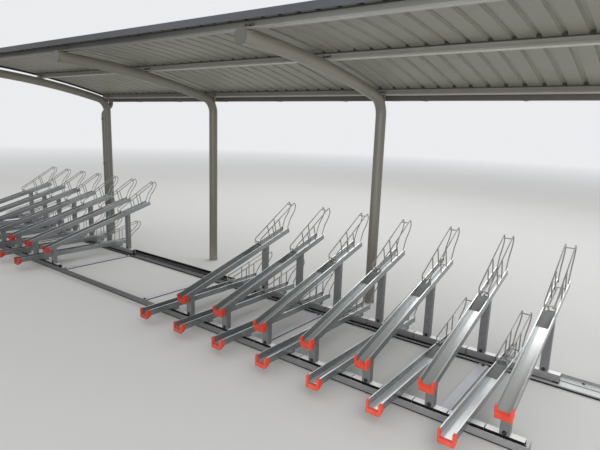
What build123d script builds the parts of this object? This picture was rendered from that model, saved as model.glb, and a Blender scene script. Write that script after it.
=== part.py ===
from build123d import *
import math
import os

os.makedirs("parts", exist_ok=True)

# Bent posts: one tube each, rising from the ground and bending over to the front
post_diameter = 89.1
post_spacing = 2060.0
post_numbers = [-1, 0, 1, 2]
bend_radius = 165.0
arc_radius = 7592.0
arc_centre_y = -1968.35
arc_centre_z = -5546.3
arm_end_y = -1704.0
end_cap_thickness = 5.0
end_cap_overlap = 3.0

# Purlins: Z channels across the arms, bottom flange and turned lip to the front
purlin_height = 60.0
purlin_flange = 32.0
purlin_lip = 13.0
purlin_thickness = 2.5
front_purlin_y = -1622.0
middle_purlin_y = -833.0
rear_purlin_y = 20.0
roof_overhang = 140.0

# Cleats that tie each purlin down over each arm
cleat_width = 60.0
cleat_height = 34.0
cleat_depth = 22.0
cleat_thickness = 4.0
seat_length = 26.0

# Roof sheet: ribs run from front to rear along the arc
rib_pitch = 128.0
rib_phase_x = 2153.0
rib_height = 18.0
rib_base = 38.0
rib_top = 20.0
sheet_thickness = 1.2
sheet_seat = 0.1
sheet_front_y = -1712.0
sheet_rear_y = 96.0

# Front flashing and verge trims round the roof edge
flashing_drop = 42.0
flashing_back = 70.0
flashing_thickness = 1.5
trim_drop = 40.0
trim_cover = 25.0
trim_thickness = 1.5
trim_clearance = 0.5

# Rear gutter with its hangers, and the downpipe beside the left end post
gutter_front_y = 68.0
gutter_width = 90.0
gutter_bottom_z = 1790.0
gutter_depth = 75.0
gutter_thickness = 1.5
gutter_count = 3
gutter_joint = 1.0
hanger_width = 25.0
hanger_thickness = 3.0
hanger_left_margin = 690.0
hanger_right_margin = 310.0
hanger_count = 8
pipe_diameter = 60.0
pipe_wall = 2.0
pipe_offset = 86.0
pipe_bend = 70.0
pipe_straight = 45.0
strap_heights = [320.0, 960.0, 1560.0]
strap_height = 25.0
strap_thickness = 3.0

# Floor rails that carry the sliding racks: a narrow one with a high front wall, and a wide shallow one
rail_left_x = -3650.0
rail_thickness = 4.0
front_rail_y = -1416.0
front_rail_depth = 78.0
front_rail_height = 50.0
front_rail_right_x = 3740.0
front_foot_height = 11.0
front_foot_setback = 8.0
front_back_lip = 9.0
rear_rail_y = -567.0
rear_rail_depth = 182.0
rear_rail_front_height = 20.0
rear_rail_back_height = 24.0
rear_rail_right_x = 4060.0
rear_ridge_y = -462.0
rear_ridge_width = 6.0
rear_ridge_height = 10.0
stop_thickness = 6.0
stop_height = 50.0
rear_stop_height = 32.0
tie_xs = [-3550.0, -2185.0, -820.0, 545.0, 1910.0, 3275.0]
tie_width = 64.0
tie_thickness = 8.0

# Racks: low and high ones take turns along the rails
rack_pitch = 200.0
right_first_x = 1028.0
right_count = 14
left_first_x = -925.0
left_count = 14
carriage_seam = 6.0
carriage_depth = 46.0
carriage_top_z = 60.0
carriage_wall = 5.0
carriage_foot = 40.0
carriage_gap_z = 13.0
front_carriage_y = -1399.0
rear_carriage_y = -514.5
running_gap = 0.4

# Wheel channel, measured along it (s) from its rear end and square to it (h) from its lips
channel_half_lip = 39.0
lip_width = 7.0
lip_height = 5.0
wall_thickness = 3.0
floor_depth = 43.0
ramp_start_s = -530.0
ramp_end_s = -400.0
ramp_end_h = -3.0
low_front_y = -1655.0
low_rear_y = -355.0
low_lip_z = 130.0
high_front_y = -1464.0
high_front_z = 246.0
high_rear_y = -210.0
high_rear_z = 602.0

# Legs under the high channels, seats under the low ones
front_leg_width = 50.0
rear_leg_width = 50.0
leg_depth = 40.0
leg_thickness = 4.0
seat_width = 60.0
seat_depth = 44.0

# Wheel hoop: two side frames of wire with cross wires between them
wire_radius = 4.5
hoop_half = 31.0
stub_h = 53.0
tip_s = 152.0
tip_h = 200.0
hoop_foot_h = -24.0
picket_places = [-210.0, -110.0]
stub_s = -395.0
rod_s = -395.0
rod_h = 30.0
bar_s = 115.0
weld_depth = 5.0
loop_half = 16.0
loop_front_s = -372.0

# End caps: a block ahead of each channel's front end and a sleeve back round it
cap_half_width = 44.0
cap_top_h = 1.5
cap_front_h = -69.0
cap_rear_h = -50.0
cap_length = 22.0
cap_sleeve = 18.0
cap_prong = 12.5
cap_fit = 0.3

post_radius = post_diameter / 2
left_post_x = post_numbers[0] * post_spacing
roof_left_x = left_post_x - roof_overhang
roof_right_x = post_numbers[-1] * post_spacing + roof_overhang
pipe_x = left_post_x - pipe_offset
arm_top_radius = arc_radius + post_radius
sheet_radius = arm_top_radius + purlin_height + sheet_seat
channel_half = channel_half_lip + lip_width / 2
wall_outer = channel_half_lip + wall_thickness / 2
low_length = low_rear_y - low_front_y
high_length = math.hypot(high_rear_y - high_front_y, high_rear_z - high_front_z)
high_slope = math.degrees(math.atan2(high_rear_z - high_front_z, high_rear_y - high_front_y))
carriage_length = rack_pitch - carriage_seam


def save(shape, name):
    # Writes one node
    export_step(shape, "parts/" + name + ".step")


def block(x0, x1, y0, y1, z0, z1):
    # A box between two corners
    return Pos((x0 + x1) / 2, (y0 + y1) / 2, (z0 + z1) / 2) * Box(x1 - x0, y1 - y0, z1 - z0)


def arc_angle(y, radius):
    # Angle from the top of the arc to the place that has this y
    return math.degrees(math.asin((y - arc_centre_y) / radius))


def on_arc(shape, y, radius):
    # Sets a shape made at the top of the arc down at y, leaning with the arc
    turn = Rot(-arc_angle(y, radius), 0, 0)
    return Pos(0, arc_centre_y, arc_centre_z) * turn * Pos(0, 0, radius) * shape


def along_arc(section_points, y0, y1):
    # Turns a section drawn in x and radius round the arc from y0 to y1
    start = arc_angle(y0, sheet_radius)
    end = arc_angle(y1, sheet_radius)
    face = Plane.XZ * make_face(Polyline(*section_points, close=True))
    solid = revolve(face, axis=Axis.X, revolution_arc=-(end - start))
    return Pos(0, arc_centre_y, arc_centre_z) * Rot(-start, 0, 0) * solid


def bar_x(points, x0, x1):
    # A bar along X with this outline in y and z
    face = Plane.YZ * make_face(Polyline(*points, close=True))
    return Pos(x0, 0, 0) * extrude(face, amount=x1 - x0)


def wire(points, radius=wire_radius):
    # A six sided wire through the points
    path = Polyline(*[Vector(*p) for p in points])
    across = (0, 0, 1) if abs((path % 0).X) > 0.5 else (1, 0, 0)
    start = Plane(origin=points[0], x_dir=across, z_dir=path % 0)
    section = start * RegularPolygon(radius, 6, major_radius=False, rotation=30)
    return sweep(section, path=path, transition=Transition.RIGHT)


def at_racks(shape, xs):
    # One copy of a shape at each rack
    return Compound([solid.moved(Location((x, 0, 0))) for x in xs for solid in shape.solids()])


# Bent posts
bend_gap = arc_radius - bend_radius
bend_centre_z = arc_centre_z + math.sqrt(bend_gap**2 - (arc_centre_y + bend_radius) ** 2)
tilt_y = (-bend_radius - arc_centre_y) / bend_gap
tilt_z = (bend_centre_z - arc_centre_z) / bend_gap
bend_end = (0, arc_centre_y + arc_radius * tilt_y, arc_centre_z + arc_radius * tilt_z)
bend_lean = math.atan2(tilt_z, tilt_y) / 2
bend_mid = (0, bend_radius * (math.cos(bend_lean) - 1), bend_centre_z + bend_radius * math.sin(bend_lean))
arm_mid_y = (bend_end[1] + arm_end_y) / 2


def arc_point(y):
    # Point of the arm's centre line
    return (0, y, arc_centre_z + math.sqrt(arc_radius**2 - (y - arc_centre_y) ** 2))


upright = Line((0, 0, 0), (0, 0, bend_centre_z))
bend = ThreePointArc((0, 0, bend_centre_z), bend_mid, bend_end)
arm = ThreePointArc(bend_end, arc_point(arm_mid_y), arc_point(arm_end_y))
post = sweep(Plane.XY * Circle(post_radius), path=Curve() + [upright, bend, arm])
posts = Compound([post.solid().moved(Location((n * post_spacing, 0, 0))) for n in post_numbers])
save(posts, "bent_posts")

end_angle = arc_angle(arm_end_y, arc_radius)
cap_disc = Pos(0, 0, 0) * Rot(90, 0, 0) * Cylinder(post_radius + end_cap_overlap, end_cap_thickness)
cap_disc = fillet(cap_disc.edges().filter_by(GeomType.CIRCLE).sort_by(Axis.Y)[0], 2)
cap_disc = on_arc(Pos(0, -end_cap_thickness / 2, 0) * cap_disc, arm_end_y, arc_radius)
arm_caps = [cap_disc.solid().moved(Location((n * post_spacing, 0, 0))) for n in post_numbers]
save(Compound(arm_caps), "arm_end_caps")

# Purlins, drawn with the web's front face at y 0 and the bottom at z 0
purlin_points = [
    (-purlin_flange, 0),
    (purlin_thickness, 0),
    (purlin_thickness, purlin_height - purlin_thickness),
    (purlin_flange, purlin_height - purlin_thickness),
    (purlin_flange, purlin_height),
    (0, purlin_height),
    (0, purlin_thickness),
    (-purlin_flange + purlin_thickness, purlin_thickness),
    (-purlin_flange + purlin_thickness, purlin_lip),
    (-purlin_flange, purlin_lip),
]
purlin = bar_x(purlin_points, roof_left_x + 5, roof_right_x - 5)
purlin_places = {"front_purlin": front_purlin_y, "middle_purlin": middle_purlin_y, "rear_purlin": rear_purlin_y}
purlins = {name: on_arc(purlin, y, arm_top_radius) for name, y in purlin_places.items()}
for name, shape in purlins.items():
    save(shape, name)

# Cleats: upright U pieces on the bottom flange, web against the purlin's web
cleat_front = -cleat_depth
cleat_base = purlin_thickness
cleat = block(-cleat_width / 2, cleat_width / 2, cleat_front, 0, cleat_base, cleat_base + cleat_height)
cleat_inner = cleat_width / 2 - cleat_thickness
cleat_above = cleat_base + 2 * cleat_height
cleat -= block(-cleat_inner, cleat_inner, cleat_front, -cleat_thickness, cleat_base + cleat_thickness, cleat_above)
cleats = []
for y in purlin_places.values():
    for n in post_numbers:
        cleats.append(on_arc(Pos(n * post_spacing, 0, 0) * cleat, y, arm_top_radius).solid())
save(Compound(cleats), "purlin_cleats")

# Seats that lift the rear purlin off the bends
seat_back = seat_length - purlin_flange
seat_block = block(-cleat_width / 2, cleat_width / 2, -purlin_flange, seat_back, -post_diameter, 0)
rear_seat = (on_arc(seat_block, rear_purlin_y, arm_top_radius) - post).solids().sort_by(Axis.Z)[-1]
seats = [rear_seat.moved(Location((n * post_spacing, 0, 0))) for n in post_numbers]
save(Compound(seats), "rear_purlin_seats")

# Roof sheet section in x and radius
rib_first = math.ceil((roof_left_x + rib_base - rib_phase_x) / rib_pitch)
rib_last = math.floor((roof_right_x - rib_base - rib_phase_x) / rib_pitch)
rib_xs = [rib_phase_x + n * rib_pitch for n in range(rib_first, rib_last + 1)]
under = [(roof_left_x, sheet_radius)]
for x in rib_xs:
    under.append((x - rib_base / 2, sheet_radius))
    under.append((x - rib_top / 2, sheet_radius + rib_height))
    under.append((x + rib_top / 2, sheet_radius + rib_height))
    under.append((x + rib_base / 2, sheet_radius))
under.append((roof_right_x, sheet_radius))
over = [(x, r + sheet_thickness) for x, r in reversed(under)]
save(along_arc(under + over, sheet_front_y, sheet_rear_y), "roof_sheet")

# Front flashing: over the ribs and down in front of the sheet's edge
rib_crest = rib_height + sheet_thickness
fold = flashing_thickness
flashing_points = [
    (-fold, rib_crest - flashing_drop + fold),
    (0, rib_crest - flashing_drop + fold),
    (0, rib_crest),
    (flashing_back, rib_crest),
    (flashing_back, rib_crest + fold),
    (-fold, rib_crest + fold),
]
flashing = on_arc(bar_x(flashing_points, roof_left_x, roof_right_x), sheet_front_y, sheet_radius)
crest_radius = sheet_radius + rib_crest
crest_front = sheet_front_y - 20
crest_back = sheet_front_y + flashing_back + 20
crest_under = [(roof_left_x - 9, sheet_radius - 60), (roof_right_x + 9, sheet_radius - 60)]
crest_over = [(roof_right_x + 9, crest_radius), (roof_left_x - 9, crest_radius)]
flashing_cut = along_arc(crest_under + crest_over, sheet_front_y + 0.5, crest_back)
flashing = flashing - flashing_cut
save(flashing.solids().sort_by(SortBy.VOLUME)[-1], "front_flashing")

# Verge trims at the two ends of the roof
low_r = sheet_radius + rib_crest - trim_drop
high_r = sheet_radius + sheet_thickness
left_out = roof_left_x - trim_clearance
right_out = roof_right_x + trim_clearance
left_trim = [
    (left_out - trim_thickness, low_r),
    (left_out, low_r),
    (left_out, high_r),
    (roof_left_x + trim_cover, high_r),
    (roof_left_x + trim_cover, high_r + trim_thickness),
    (left_out - trim_thickness, high_r + trim_thickness),
]
right_trim = [(roof_left_x + roof_right_x - x, r) for x, r in left_trim]
trim_front_y = sheet_front_y + flashing_back + 2
trims = [along_arc(left_trim, trim_front_y, sheet_rear_y), along_arc(right_trim, trim_front_y, sheet_rear_y)]
save(Compound([t.solid() for t in trims]), "verge_trims")

# Rear gutter: lengths of open trough end to end, closed at the two outer ends
gutter_back_y = gutter_front_y + gutter_width
gutter_top_z = gutter_bottom_z + gutter_depth
trough = block(roof_left_x, roof_right_x, gutter_front_y, gutter_back_y, gutter_bottom_z, gutter_top_z)
trough -= block(
    roof_left_x + gutter_thickness,
    roof_right_x - gutter_thickness,
    gutter_front_y + gutter_thickness,
    gutter_back_y - gutter_thickness,
    gutter_bottom_z + gutter_thickness,
    gutter_top_z + 1,
)
outlet_y = gutter_front_y + gutter_width / 2
trough -= Pos(pipe_x, outlet_y, gutter_bottom_z) * Cylinder(pipe_diameter / 2 - pipe_wall, 20)
trough_length = (roof_right_x - roof_left_x) / gutter_count
for n in range(1, gutter_count):
    joint_x = roof_left_x + n * trough_length
    saw = block(-gutter_joint / 2, gutter_joint / 2, 0, 2 * gutter_back_y, 0, 2 * gutter_top_z)
    trough -= Pos(joint_x, 0, 0) * saw
save(Compound(trough.solids()), "rear_gutter")

# Gutter hangers: a strap round the trough and a tab forward to the purlin's web
strap_front = gutter_front_y - hanger_thickness
strap_back = gutter_back_y + hanger_thickness
strap_low = gutter_bottom_z - hanger_thickness
hanger = block(0, hanger_width, strap_front, strap_back, strap_low, gutter_top_z)
hanger -= block(-1, hanger_width + 1, gutter_front_y, gutter_back_y, gutter_bottom_z, gutter_top_z + 1)
tab = block(0, hanger_width, 0, strap_front, gutter_top_z - 14, gutter_top_z - 14 + hanger_thickness)
web_reach = gutter_back_y + gutter_depth
web_side = block(-hanger_width, 2 * hanger_width, -web_reach, purlin_thickness, -web_reach, web_reach)
web_side = on_arc(web_side, rear_purlin_y, arm_top_radius)
hanger = (hanger + (tab - web_side)).solid()
hanger_first_x = roof_left_x + hanger_left_margin
hanger_spacing = (roof_right_x - hanger_right_margin - hanger_first_x) / (hanger_count - 1)
hanger_xs = [hanger_first_x + n * hanger_spacing for n in range(hanger_count)]
hangers = [hanger.moved(Location((x - hanger_width / 2, 0, 0))) for x in hanger_xs]
save(Compound(hangers), "gutter_hangers")

# Downpipe: from the gutter's outlet forward to the post's side and down to the ground
drop_z = gutter_bottom_z - pipe_straight
pipe_points = [
    (pipe_x, outlet_y, gutter_bottom_z),
    (pipe_x, outlet_y, drop_z),
    (pipe_x, 0, drop_z - outlet_y),
    (pipe_x, 0, 0),
]
pipe_path = FilletPolyline(*pipe_points, radius=pipe_bend)
pipe_start = Plane(origin=pipe_points[0], z_dir=(0, 0, -1))
pipe_ring = Circle(pipe_diameter / 2) - Circle(pipe_diameter / 2 - pipe_wall)
downpipe = sweep(pipe_start * pipe_ring, path=pipe_path)
save(downpipe, "downpipe")

# Straps that hold the downpipe to the left end post
left_post = post.moved(Location((left_post_x, 0, 0)))
strap = Cylinder(pipe_diameter / 2 + strap_thickness, strap_height)
strap += block(0, left_post_x - pipe_x, -strap_thickness, strap_thickness, -strap_height / 2, strap_height / 2)
strap -= Cylinder(pipe_diameter / 2, strap_height + 2)
straps = []
for z in strap_heights:
    straps.append((Pos(pipe_x, 0, z) * strap - left_post).solids().sort_by(Axis.X)[0])
save(Compound(straps), "downpipe_straps")

# Front rail: its high front wall stands a little ahead of its foot
wall = rail_thickness
front_points = [
    (front_foot_setback, 0),
    (front_rail_depth, 0),
    (front_rail_depth, front_back_lip),
    (front_rail_depth - wall, front_back_lip),
    (front_rail_depth - wall, wall),
    (front_foot_setback + wall, wall),
    (front_foot_setback + wall, front_foot_height + wall),
    (wall, front_foot_height + wall),
    (wall, front_rail_height),
    (0, front_rail_height),
    (0, front_foot_height),
    (front_foot_setback, front_foot_height),
]
front_rail = bar_x(front_points, rail_left_x, front_rail_right_x)
save(Pos(0, front_rail_y, 0) * front_rail, "front_rail")

# Rear rail: low walls, and a ridge along its floor behind the carriages
ridge_front = rear_ridge_y - rear_rail_y
rear_points = [
    (0, 0),
    (rear_rail_depth, 0),
    (rear_rail_depth, rear_rail_back_height),
    (rear_rail_depth - wall, rear_rail_back_height),
    (rear_rail_depth - wall, wall),
    (ridge_front + rear_ridge_width, wall),
    (ridge_front + rear_ridge_width, rear_ridge_height),
    (ridge_front, rear_ridge_height),
    (ridge_front, wall),
    (wall, wall),
    (wall, rear_rail_front_height),
    (0, rear_rail_front_height),
]
rear_rail = bar_x(rear_points, rail_left_x, rear_rail_right_x)
save(Pos(0, rear_rail_y, 0) * rear_rail, "rear_rail")

# Flat ties between the rails
tie_front = front_rail_y + front_rail_depth
ties = [block(x - tie_width / 2, x + tie_width / 2, tie_front, rear_rail_y, 0, tie_thickness) for x in tie_xs]
save(Compound([t.solid() for t in ties]), "floor_ties")

# End stops across the rails
front_back = front_rail_y + front_rail_depth
rear_back = rear_rail_y + rear_rail_depth
stops = []
for x in (rail_left_x - stop_thickness, front_rail_right_x):
    stops.append(block(x, x + stop_thickness, front_rail_y, front_back, 0, stop_height).solid())
for x in (rail_left_x - stop_thickness, rear_rail_right_x):
    stops.append(block(x, x + stop_thickness, rear_rail_y, rear_back, 0, rear_stop_height).solid())
save(Compound(stops), "rail_end_stops")

# One carriage: an inverted channel that runs in a rail on a foot at each end
half_carriage = carriage_length / 2
skid_z = rail_thickness + running_gap
carriage = block(-half_carriage, half_carriage, 0, carriage_depth, skid_z, carriage_top_z)
inside_back = carriage_depth - carriage_wall
inside_top = carriage_top_z - carriage_wall
carriage -= block(-carriage_length, carriage_length, carriage_wall, inside_back, 0, inside_top)
foot_x = half_carriage - carriage_foot
carriage -= block(-foot_x, foot_x, -1, carriage_depth + 1, 0, carriage_gap_z)
carriages = Compound([(Pos(0, y, 0) * carriage).solid() for y in (front_carriage_y, rear_carriage_y)])


def wheel_channel(length):
    # The channel with its rear end at y 0 and its lips at z 0
    inside = wall_outer - wall_thickness
    floor_z = -floor_depth - wall_thickness
    wall = [
        (inside, floor_z),
        (wall_outer, floor_z),
        (wall_outer, -lip_height),
        (channel_half, -lip_height),
        (channel_half, -1),
        (channel_half - 1, 0),
        (channel_half - lip_width, 0),
        (channel_half - lip_width, -lip_height),
        (inside, -lip_height),
    ]
    sides = []
    for side in (1, -1):
        face = Plane.XZ * make_face(Polyline(*[(side * x, z) for x, z in wall], close=True))
        sides.append(extrude(face, amount=length))
    floor = block(-inside, inside, -length, ramp_start_s, floor_z, -floor_depth)
    ramp_points = [
        (ramp_start_s, floor_z),
        (ramp_start_s, -floor_depth),
        (ramp_end_s, ramp_end_h),
        (ramp_end_s, ramp_end_h - wall_thickness),
    ]
    ramp = bar_x(ramp_points, -inside, inside)
    return sides[0] + sides[1] + floor + ramp


def wheel_hoop():
    # The hoop in the same place, wires welded inside the channel's walls
    rise = (tip_h - stub_h) / (tip_s - stub_s)
    frames = []
    for x in (-hoop_half, hoop_half):
        outline = [
            (x, stub_s, hoop_foot_h),
            (x, stub_s, stub_h),
            (x, tip_s - 12, tip_h - 3),
            (x, tip_s + 2, tip_h - 12),
            (x, tip_s + 2, 152),
            (x, 120, 114),
            (x, 75, 87),
            (x, 48, 68),
            (x, -8, 2),
            (x, -8, hoop_foot_h),
        ]
        frames.append(wire(outline))
        for s in picket_places:
            frames.append(wire([(x, s, hoop_foot_h), (x, s, stub_h + rise * (s - stub_s))]))
    bars = [wire([(-hoop_half, rod_s, rod_h), (hoop_half, rod_s, rod_h)])]
    bar_h = stub_h + rise * (bar_s - stub_s) - weld_depth
    bars.append(wire([(-hoop_half, bar_s, bar_h), (hoop_half, bar_s, bar_h)]))
    loop_rear_s = picket_places[-1]
    bars.append(wire([(-hoop_half, loop_rear_s, 0), (hoop_half, loop_rear_s, 0)]))
    for x in (-loop_half, loop_half):
        bars.append(wire([(x, rod_s, rod_h), (x, loop_front_s, 0), (x, loop_rear_s, 0)]))
    hoop = frames[0]
    for piece in frames[1:] + bars:
        hoop += piece
    return hoop


def end_cap(length):
    # The cap at the channel's front end, its underside rising to the rear
    front = -length - cap_length
    rear = -length + cap_sleeve
    side = [(front, cap_front_h), (rear, cap_rear_h), (rear, cap_top_h), (front, cap_top_h)]
    cap = bar_x(side, -cap_half_width, cap_half_width)
    corners = cap.edges().filter_by(Axis.Z).sort_by(Axis.Y)[:2]
    cap = fillet(corners, 5)
    slot = cap_half_width - cap_prong
    cap -= block(-slot, slot, front - 9, rear + 9, -floor_depth, 9)
    pocket = channel_half + cap_fit
    cap -= block(-pocket, pocket, -length, rear + 9, -floor_depth - wall_thickness - cap_fit, 9)
    return cap


low_place = Pos(0, low_rear_y, low_lip_z)
high_place = Pos(0, high_rear_y, high_rear_z) * Rot(high_slope, 0, 0)
hoop = wheel_hoop()
low_channel = low_place * wheel_channel(low_length)
high_channel = high_place * wheel_channel(high_length)
low_hoop = low_place * hoop
high_hoop = high_place * hoop
low_cap = low_place * end_cap(low_length)
high_cap = high_place * end_cap(high_length)


def leg(width, y):
    # An upright channel from the carriage's front edge to the underside of a high wheel channel
    post_leg = block(-width / 2, width / 2, y, y + leg_depth, carriage_top_z, high_rear_z)
    side = width / 2 - leg_thickness
    post_leg -= block(
        -side, side, y + leg_thickness, y + leg_depth + 1, carriage_top_z + leg_thickness, high_rear_z + 9
    )
    floor_under = -floor_depth - wall_thickness
    above = block(-rack_pitch, rack_pitch, -2 * high_length, high_length, floor_under, high_length)
    above = high_place * above
    return (post_leg - above).solid()


def seat(y, width):
    # A low bridge between the carriage and a low wheel channel
    top = low_lip_z - floor_depth - wall_thickness
    bridge = block(-width / 2, width / 2, y, y + seat_depth, carriage_top_z, top)
    side = width / 2 - leg_thickness
    bridge -= block(-side, side, y - 1, y + seat_depth + 1, carriage_top_z, top - leg_thickness)
    return bridge.solid()


# The low channel has no floor over the rear carriage, so its walls stand on a wider seat
high_legs = Compound([leg(front_leg_width, front_carriage_y), leg(rear_leg_width, rear_carriage_y)])
low_seats = Compound([seat(front_carriage_y, seat_width), seat(rear_carriage_y, 2 * channel_half)])

# Rack places: the two beside the free stretch on each side slide, the rest are parked
right_xs = [right_first_x + n * rack_pitch for n in range(right_count)]
left_xs = [left_first_x - n * rack_pitch for n in range(left_count)]
low_xs = right_xs[0::2] + left_xs[1::2]
high_xs = right_xs[1::2] + left_xs[0::2]
moving = {
    "right_low_rack": right_xs[0],
    "right_high_rack": right_xs[1],
    "left_high_rack": left_xs[0],
    "left_low_rack": left_xs[1],
}
parked_low = [x for x in low_xs if x not in moving.values()]
parked_high = [x for x in high_xs if x not in moving.values()]
save(at_racks(carriages, parked_low + parked_high), "parked_carriages")
save(at_racks(low_channel, parked_low), "parked_low_channels")
save(at_racks(high_channel, parked_high), "parked_high_channels")
save(at_racks(low_seats, parked_low), "parked_low_seats")
save(at_racks(high_legs, parked_high), "parked_high_legs")
save(at_racks(low_hoop, parked_low), "parked_low_hoops")
save(at_racks(high_hoop, parked_high), "parked_high_hoops")
caps = at_racks(low_cap, parked_low).solids() + at_racks(high_cap, parked_high).solids()
save(Compound(caps), "parked_end_caps")
for name, x in moving.items():
    is_low = "low" in name
    save(at_racks(carriages, [x]), name + "_carriages")
    save(at_racks(low_channel if is_low else high_channel, [x]), name + "_channel")
    save(at_racks(low_seats if is_low else high_legs, [x]), name + ("_seats" if is_low else "_legs"))
    save(at_racks(low_hoop if is_low else high_hoop, [x]), name + "_hoop")
    save(at_racks(low_cap if is_low else high_cap, [x]), name + "_end_cap")
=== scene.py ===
from math import asin, atan2, cos, radians, sin, sqrt
import bpy
from mathutils import Matrix, Vector


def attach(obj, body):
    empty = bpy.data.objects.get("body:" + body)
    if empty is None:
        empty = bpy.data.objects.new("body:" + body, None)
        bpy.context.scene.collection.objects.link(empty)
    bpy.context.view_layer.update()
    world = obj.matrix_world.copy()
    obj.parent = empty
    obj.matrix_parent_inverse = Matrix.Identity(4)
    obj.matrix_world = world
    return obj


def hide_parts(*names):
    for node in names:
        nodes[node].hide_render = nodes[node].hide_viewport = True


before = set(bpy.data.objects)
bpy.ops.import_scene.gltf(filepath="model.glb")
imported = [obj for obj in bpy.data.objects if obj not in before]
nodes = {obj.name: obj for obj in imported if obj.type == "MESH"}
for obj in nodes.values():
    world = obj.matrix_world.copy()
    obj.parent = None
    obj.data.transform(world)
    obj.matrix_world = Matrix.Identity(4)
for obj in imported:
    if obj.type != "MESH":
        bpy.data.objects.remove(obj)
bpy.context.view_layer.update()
print("frame loaded:", len(nodes), "nodes")

movingRacks = {  # centre of each rack that slides, along the rails
    "right_low_rack": 1.028,
    "right_high_rack": 1.228,
    "left_high_rack": -0.925,
    "left_low_rack": -1.125,
}
parkedSteps = [0.4 * n for n in range(6)]  # low and high racks take turns, so each kind comes every 0.4 m
parkedLow = [1.428 + s for s in parkedSteps] + [-1.525 - s for s in parkedSteps]
parkedHigh = [1.628 + s for s in parkedSteps] + [-1.325 - s for s in parkedSteps]
postPlaces = [-2.06, 0.0, 2.06, 4.12]
purlinPlaces = [-1.622, -0.833, 0.020]
armTop = 7.592 + 0.04455  # radius of the arms' upper edge about the axis that the roof bends round
roofArc = {"y": -1.96835, "z": -5.5463, "arm": armTop, "sheet": armTop + 0.0601}
nearEnough = 1e-4  # two places closer than this are the same
overcut = 0.01  # how far a cutter reaches past what it cuts


# small tools for hand work
def clearSelection():
    if bpy.context.object and bpy.context.object.mode != "OBJECT":
        bpy.ops.object.mode_set(mode="OBJECT")
    bpy.ops.object.select_all(action="DESELECT")


def pickOnly(piece):
    clearSelection()
    piece.select_set(True)
    bpy.context.view_layer.objects.active = piece


def startPiece(name):
    piece = bpy.context.object
    piece.name = name
    piece.data.name = name
    return piece


def pickFaces(piece, wanted):
    # goes into edit mode with only the wanted faces picked
    pickOnly(piece)
    bpy.ops.object.mode_set(mode="EDIT")
    bpy.ops.mesh.select_mode(type="FACE")
    bpy.ops.mesh.select_all(action="DESELECT")
    bpy.ops.object.mode_set(mode="OBJECT")
    for face in piece.data.polygons:
        face.select = wanted(face.center, face.normal)
    bpy.ops.object.mode_set(mode="EDIT")


def pickEdges(piece, wanted):
    # goes into edit mode with only the wanted edges picked, each told by its two ends
    pickOnly(piece)
    bpy.ops.object.mode_set(mode="EDIT")
    bpy.ops.mesh.select_mode(type="EDGE")
    bpy.ops.mesh.select_all(action="DESELECT")
    bpy.ops.object.mode_set(mode="OBJECT")
    points = [v.co.copy() for v in piece.data.vertices]
    for edge in piece.data.edges:
        edge.select = wanted(points[edge.vertices[0]], points[edge.vertices[1]])
    bpy.ops.object.mode_set(mode="EDIT")


def addBox(name, low, high):
    clearSelection()
    size = [b - a for a, b in zip(low, high)]
    middle = [(a + b) / 2 for a, b in zip(low, high)]
    bpy.ops.mesh.primitive_cube_add(size=1, location=middle)
    piece = startPiece(name)
    piece.scale = size
    bpy.ops.object.transform_apply(location=True, rotation=True, scale=True)
    return piece


def addRod(name, sides, radius, length, middle=(0, 0, 0), turn=(0, 0, 0)):
    clearSelection()
    bpy.ops.mesh.primitive_cylinder_add(
        vertices=sides, radius=radius, depth=length, location=middle, rotation=turn
    )
    piece = startPiece(name)
    bpy.ops.object.transform_apply(location=True, rotation=True, scale=True)
    return piece


def softenEdges(piece, width, steps=2, angle=40):
    pickOnly(piece)
    bevel = piece.modifiers.new("softEdges", "BEVEL")
    bevel.width = width
    bevel.segments = steps
    bevel.limit_method = "ANGLE"
    bevel.angle_limit = radians(angle)
    bpy.ops.object.modifier_apply(modifier=bevel.name)


def smoothBy(piece, angle=35):
    pickOnly(piece)
    bpy.ops.object.shade_smooth_by_angle(angle=radians(angle))


def joinPieces(name, pieces):
    clearSelection()
    for piece in pieces:
        piece.select_set(True)
    bpy.context.view_layer.objects.active = pieces[0]
    if len(pieces) > 1:
        bpy.ops.object.join()
    return startPiece(name)


def spread(name, pattern, places):
    # one joined piece with its own copy of the pattern at every place, each a matrix
    copies = []
    for place in places:
        pickOnly(pattern)
        bpy.ops.object.duplicate()
        copy = bpy.context.object
        copy.data.transform(place)
        copies.append(copy)
    return joinPieces(name, copies)


def dropPattern(pattern):
    pickOnly(pattern)
    bpy.ops.object.delete()


def finishPiece(piece, body, material):
    piece.data.materials.clear()
    piece.data.materials.append(material)
    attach(piece, body)


def at(x, y, z):
    return Matrix.Translation((x, y, z))


def onArc(x, y, radius):
    # a place on the roof's arc that leans with it, Z pointing out of the roof
    lean = asin((y - roofArc["y"]) / radius)
    place = at(x, roofArc["y"] + radius * sin(lean), roofArc["z"] + radius * cos(lean))
    return place @ Matrix.Rotation(-lean, 4, "X")


# shader groups shared by the finishes
def newGroup(name, inputs, outputs):
    group = bpy.data.node_groups.new(name, "ShaderNodeTree")
    for label, kind, value in inputs:
        socket = group.interface.new_socket(name=label, in_out="INPUT", socket_type=kind)
        socket.default_value = value
    for label, kind in outputs:
        group.interface.new_socket(name=label, in_out="OUTPUT", socket_type=kind)
    return group, group.nodes.new("NodeGroupInput"), group.nodes.new("NodeGroupOutput")


def mathNode(tree, operation, a, b=None, clamp=False):
    node = tree.nodes.new("ShaderNodeMath")
    node.operation = operation
    node.use_clamp = clamp
    for place, value in enumerate((a, b)):
        if value is None:
            continue
        if isinstance(value, (int, float)):
            node.inputs[place].default_value = value
        else:
            tree.links.new(value, node.inputs[place])
    return node.outputs[0]


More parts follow.
